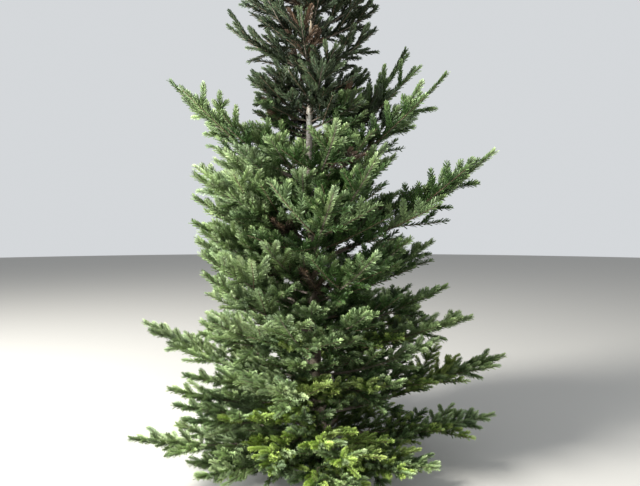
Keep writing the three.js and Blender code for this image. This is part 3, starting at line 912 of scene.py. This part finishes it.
def needle_material(name, colour):
    """A waxy needle green with painted shade at a needle's foot and a painted highlight at its tip, that
    drifts a little in tone from spray to spray.
    """
    material, tree, shader = new_material(name, 0.50)
    shader.inputs["Specular IOR Level"].default_value = 0.28
    drift = noise_node(tree, node(tree, "ShaderNodeTexCoord")["Object"], 5.0, 3.0, 0.6)
    deeper = [share * channel for share, channel in zip(DEEPER, colour)]
    lighter = [share * channel for share, channel in zip(LIGHTER, colour)]
    tone = ramp_node(tree, drift, (0.35, deeper), (0.65, lighter))
    outward = node(tree, "ShaderNodeAttribute", attribute_name="outward")["Fac"]
    shades = {"Value": outward, "To Min": FOOT_SHADE, "To Max": TIP_SHADE}
    along = node(tree, "ShaderNodeMapRange", shades)["Result"]
    shaded = node(tree, "ShaderNodeVectorMath", {0: tone, "Scale": along}, operation="SCALE")
    tree.links.new(shaded["Vector"], shader.inputs["Base Color"])
    return material


def make_needles(twig):
    """A piece for each tone. Its outward attribute is 0 at a needle's foot and 1 at its tip, and sets the
    painted shade and highlight along it.
    """
    corners, index, light = needle_arrays(twig)
    kind = twig["kind"][index]
    pieces = []
    for number, tones in TONES.items():
        members = np.flatnonzero(kind == number)
        members = members[np.argsort(light[members], kind="stable")]
        for (name, colour), chosen in zip(tones, np.array_split(members, len(tones))):
            base = 4 * np.arange(len(chosen))[:, None]
            faces = np.concatenate([base + [0, 1, 2], base + [0, 2, 3]])
            piece = mesh_object(f"needles_{name}", corners[np.sort(chosen)].reshape(-1, 3), faces)
            outward = piece.data.attributes.new("outward", "FLOAT", "POINT")
            outward.data.foreach_set("value", np.tile(np.array([0, 0, 1, 1], dtype=np.float32), len(chosen)))
            piece.data.materials.append(needle_material(f"needle_{name}", colour))
            pieces.append(piece)
    return pieces


# Wood

TWIG_TUBES = ((1, 5, 4), (2, 3, 2), (3, 3, 2))  # sides and rings for each order of twigs
TWIG_END = 0.97  # share of a twig that its tube covers
TWIG_RADIUS = Values(root=0.0011, thickening=0.009, taper=0.6)  # thickening for each metre of its length
BUD = Values(from_light=0.3, radius=0.0032, widest=0.004, length=0.011)
# Bark relief: bumps in each metre across and along a limb, and how far they stand out, of its radius
RIDGES = Values(across=38, along=11, shift=0, height=0.05)
GRAIN = Values(across=130, along=70, shift=0, height=0.022)
BLISTERS = Values(across=85, along=60, shift=7, height=0.20, least=0.34)
TRUNK_MESH = Values(rings=480, sides=40, crowding=1.1)
COLLAR = Values(near=0.07, height=0.030, by_radius=0.3, swell=0.007)  # where a bough leaves the trunk
BOUGH_MESH = Values(sides=8, pitch=0.034, least=12, short_of_tip=0.02)
# Bark colours: dark and plain wood, then lichen and the noise from which its patches begin
BARKS = {
    "twig_bark": ((0.060, 0.040, 0.022), (0.140, 0.098, 0.055), (0.22, 0.20, 0.14), 0.72),
    "bough_bark": ((0.075, 0.055, 0.040), (0.190, 0.155, 0.120), (0.34, 0.34, 0.28), 0.60),
    "trunk_bark": ((0.150, 0.125, 0.100), (0.360, 0.330, 0.290), (0.56, 0.56, 0.51), 0.50),
}
UNSHADED_TRUNK = (1.95, 2.58)  # the trunk keeps its own colour between these heights
SHADE_AND_BROWN = (0.36, 0.30, 0.235)  # painted shade with browner bark: channel by channel, of the trunk's colour above and below
SHADE_AND_BROWN_FADE = 0.25


def make_twigs(twig):
    parts = []
    for order, sides, rings in TWIG_TUBES:
        chosen = np.flatnonzero(twig["order"] == order)
        index = np.repeat(chosen, rings)
        t = np.tile(np.linspace(0, TWIG_END, rings), len(chosen))
        points, tangents = along_twigs(t, twig, index)
        radii = TWIG_RADIUS.root + TWIG_RADIUS.thickening * twig["length"][index]
        radii = radii * (1 - TWIG_RADIUS.taper * t)
        ends = (sides * (rings * np.arange(1, len(chosen) + 1) - 1))[:, None]
        caps = [ends + [0, i, i + 1] for i in range(1, sides - 1)]
        faces = np.concatenate([ring_faces(len(chosen), rings, sides), *caps])
        parts.append((ring_vertices(points, tangents, radii, sides), faces))
    return mesh_object("twigs", *joined(parts), smooth=True)


def make_buds(twig):
    """A small pointed bud at the end of each shoot in the light."""
    chosen = np.flatnonzero((twig["order"] == 2) & (twig["light"] > BUD.from_light))
    points, tangents = along_twigs(np.full(len(chosen), TWIG_END), twig, chosen)
    above, right = frames(tangents)
    points, tangents = points[:, None], tangents[:, None]
    ring = np.stack([above, right, -above, -right], axis=1) * BUD.radius + points + BUD.widest * tangents
    vertices = np.concatenate([points, ring, points + BUD.length * tangents], axis=1)
    base = 6 * np.arange(len(chosen))[:, None]
    faces = []
    for i in range(4):
        after = 1 + (i + 1) % 4
        faces += [base + [0, 1 + i, after], base + [5, after, 1 + i]]
    return mesh_object("buds", vertices.reshape(-1, 3), np.concatenate(faces), smooth=True)


def bumps(point, kind):
    across = point[0] * kind.across + kind.shift, point[1] * kind.across
    return noise.noise(Vector((*across, point[2] * kind.along)))


def bark_relief(point, radius):
    """How far the bark stands out at a point, in metres, on a limb of the radius."""
    blister = max(0.0, bumps(point, BLISTERS) - BLISTERS.least)
    ridges = RIDGES.height * bumps(point, RIDGES)
    return radius * (ridges + GRAIN.height * bumps(point, GRAIN) + BLISTERS.height * blister)


def collar_swell(bough, height, out):
    """How far the trunk swells at a height and toward out, where the bough leaves it."""
    offset = (height - bough.root[2]) / (COLLAR.height + COLLAR.by_radius * bough.radius(0))
    facing = max(0.0, float(np.dot(out, bough.outward)))
    return COLLAR.swell * exp(-offset * offset) * facing**3


def make_trunk(boughs):
    rings, sides = TRUNK_MESH.rings, TRUNK_MESH.sides
    vertices = []
    for r in range(rings + 1):
        height = TRUNK_HEIGHT * (r / rings) ** TRUNK_MESH.crowding
        centre = trunk_axis(height)
        near = [bough for bough in boughs if abs(bough.root[2] - height) < COLLAR.near]
        for i in range(sides):
            turn = 2 * pi * i / sides
            lobe = 1 - FLARE.lobe_depth * (1 - cos(FLARE.lobes * turn + 1))
            radius = trunk_radius(height) + FLARE.radius * lobe * exp(-height / FLARE.height)
            out = np.array([cos(turn), sin(turn), 0])
            radius += bark_relief(centre + radius * out, radius)
            for bough in near:
                radius += collar_swell(bough, height, out)
            vertices.append(centre + radius * out)
    top = rings * sides
    foot_cap = [[0, i + 1, i] for i in range(1, sides - 1)]
    top_cap = [[top, top + i, top + i + 1] for i in range(1, sides - 1)]
    faces = np.concatenate([ring_faces(1, rings + 1, sides), foot_cap, top_cap])
    return mesh_object("trunk_bark", np.array(vertices), faces, smooth=True)


def make_boughs(boughs):
    """The boughs from the trunk to their tips, with bark relief, as one mesh."""
    sides = BOUGH_MESH.sides
    parts = []
    for bough in boughs:
        rings = max(BOUGH_MESH.least, int(bough.length / BOUGH_MESH.pitch))
        distances = np.linspace(0.0, bough.length - BOUGH_MESH.short_of_tip, rings)
        centres = np.array([bough.point(d) for d in distances])
        tangents = np.array([bough.direction(d) for d in distances])
        radii = np.array([bough.radius(d) for d in distances])
        vertices = ring_vertices(centres, tangents, radii, sides)
        for i, point in enumerate(vertices):
            centre = centres[i // sides]
            out = point - centre
            radius = np.linalg.norm(out)
            vertices[i] = centre + out * (1 + bark_relief(point, radius) / radius)
        parts.append((vertices, ring_faces(1, rings, sides)))
    return mesh_object("bough_bark", *joined(parts), smooth=True)


def bark_material(name, unshaded_between=None):
    """Matt, mottled bark with patches of pale lichen, darker with painted shade and browner outside two
    heights if they are given.
    """
    dark, plain, lichen, lichen_from = BARKS[name]
    material, tree, shader = new_material(name, 0.88)
    place = node(tree, "ShaderNodeTexCoord")["Object"]
    stretched = node(tree, "ShaderNodeMapping", {"Vector": place, "Scale": (1, 1, 2.6)})["Vector"]
    mottle = noise_node(tree, stretched, 34.0, 8.0, 0.65)
    patches = noise_node(tree, place, 9.0, 6.0, 0.7)
    cover = ramp_node(tree, patches, (lichen_from, (0, 0, 0)), (lichen_from + 0.08, (1, 1, 1)))
    colour = mix_node(tree, cover, ramp_node(tree, mottle, (0.36, dark), (0.62, plain)), (*lichen, 1))
    if unshaded_between is not None:
        height = node(tree, "ShaderNodeSeparateXYZ", {"Vector": place})["Z"]
        edges = {}
        for i, (edge, fade) in enumerate(zip(unshaded_between, (SHADE_AND_BROWN_FADE, -SHADE_AND_BROWN_FADE))):
            limits = {"Value": height, "From Min": edge - fade, "From Max": edge + fade}
            edges[i] = node(tree, "ShaderNodeMapRange", limits)["Result"]
        pale = node(tree, "ShaderNodeMath", edges, operation="MINIMUM")["Value"]
        # Painted shade, with browner bark, below and above the band
        shaded_browner = mix_node(tree, 1, colour, (*SHADE_AND_BROWN, 1), blend_type="MULTIPLY")
        colour = mix_node(tree, pale, shaded_browner, colour)
    tree.links.new(colour, shader.inputs["Base Color"])
    bump = node(tree, "ShaderNodeBump", {"Height": mottle, "Strength": 0.5, "Distance": 0.002})["Normal"]
    tree.links.new(bump, shader.inputs["Normal"])
    return material


# The stage: camera, floor and lights

CAMERA_AT = (-0.01, -3.5, 1.6)
CAMERA_DOWN = 0.83  # degrees below the horizon
CAMERA_LENS = 27.06
CAMERA_SENSOR = 36
FLOOR = Values(radius=40, sides=96, height=-0.001, colour=(0.33, 0.325, 0.31), roughness=0.9)
SKY = Values(colour=(0.92, 0.95, 0.98), strength=0.72)
# Each light's name, place, aim, size, power and colour
LIGHTS = [
    ("key", (-8.5, -4.0, 9.0), (0, 0, 1.8), 3.5, 4800, (1.0, 0.97, 0.91)),
    ("fill", (-5.8, -2.8, 1.2), (-0.3, 0, 0.9), 3.5, 1250, (0.96, 0.98, 1.0)),
    ("side", (6.5, -3.0, 2.6), (0.5, 0, 1.1), 4.0, 260, (0.94, 0.97, 1.0)),
]


def make_camera():
    data = bpy.data.cameras.new("camera")
    data.lens = CAMERA_LENS
    data.sensor_width = CAMERA_SENSOR
    camera = add_object("camera", data)
    camera.location = CAMERA_AT
    camera.rotation_euler = (radians(90 - CAMERA_DOWN), 0, 0)
    bpy.context.scene.camera = camera


def make_floor():
    turns = 2 * pi * np.arange(FLOOR.sides) / FLOOR.sides
    heights = np.full(FLOOR.sides, FLOOR.height)
    rim = np.stack([FLOOR.radius * np.cos(turns), FLOOR.radius * np.sin(turns), heights], axis=1)
    floor = mesh_object("floor", rim, np.arange(FLOOR.sides)[None, :])
    material, _, shader = new_material("floor", FLOOR.roughness)
    shader.inputs["Base Color"].default_value = (*FLOOR.colour, 1)
    floor.data.materials.append(material)


def make_light(name, place, aim, size, power, colour):
    data = bpy.data.lights.new(name, "AREA")
    data.shape = "DISK"
    data.size = size
    data.energy = power
    data.color = colour
    lamp = add_object(name, data)
    lamp.location = place
    lamp.rotation_euler = (Vector(aim) - Vector(place)).to_track_quat("-Z", "Y").to_euler()


def make_world():
    world = bpy.data.worlds.new("studio")
    world.use_nodes = True
    background = world.node_tree.nodes["Background"]
    background.inputs["Color"].default_value = (*SKY.colour, 1)
    background.inputs["Strength"].default_value = SKY.strength
    bpy.context.scene.world = world


# Making everything

make_camera()
make_floor()
make_world()
for light in LIGHTS:
    make_light(*light)
bpy.context.scene.view_settings.view_transform = "Standard"

boughs = solid_boughs()
weaker = weaker_boughs()
for bough in boughs:
    is_vigorous = bough.root[2] > VIGOROUS.above and bough.length > VIGOROUS.longer
    step = SHORT_STEP if bough.length < SHORT_BOUGH else LATERAL_STEP
    grow_bough(bough, step / 2, VIGOROUS.vigour if is_vigorous else 1.0)
for bough in weaker:
    step = SHORT_STEP if bough.length < SHORT_BOUGH else WEAKER.step * LATERAL_STEP
    grow_bough(bough, step / 2, WEAKER.vigour, WEAKER.tone)
grow_sprigs()
grow_leader()
twig = {field: np.array(values, dtype=float) for field, values in zip(FIELDS, zip(*twigs))}

masses = [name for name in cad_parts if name.endswith("_needles")]
limbs = [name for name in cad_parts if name.endswith("_bough")]

for piece in make_needles(twig):
    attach(piece, "root")
    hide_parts(*masses)

twig_bark = bark_material("twig_bark")
for piece in (make_twigs(twig), make_buds(twig)):
    piece.data.materials.append(twig_bark)
    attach(piece, "root")
    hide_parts(*masses)

bough_piece = make_boughs(boughs + weaker)
bough_piece.data.materials.append(bark_material("bough_bark"))
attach(bough_piece, "root")
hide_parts(*limbs)

trunk_piece = make_trunk(boughs)
trunk_piece.data.materials.append(bark_material("trunk_bark", UNSHADED_TRUNK))
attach(trunk_piece, "root")
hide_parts("trunk")
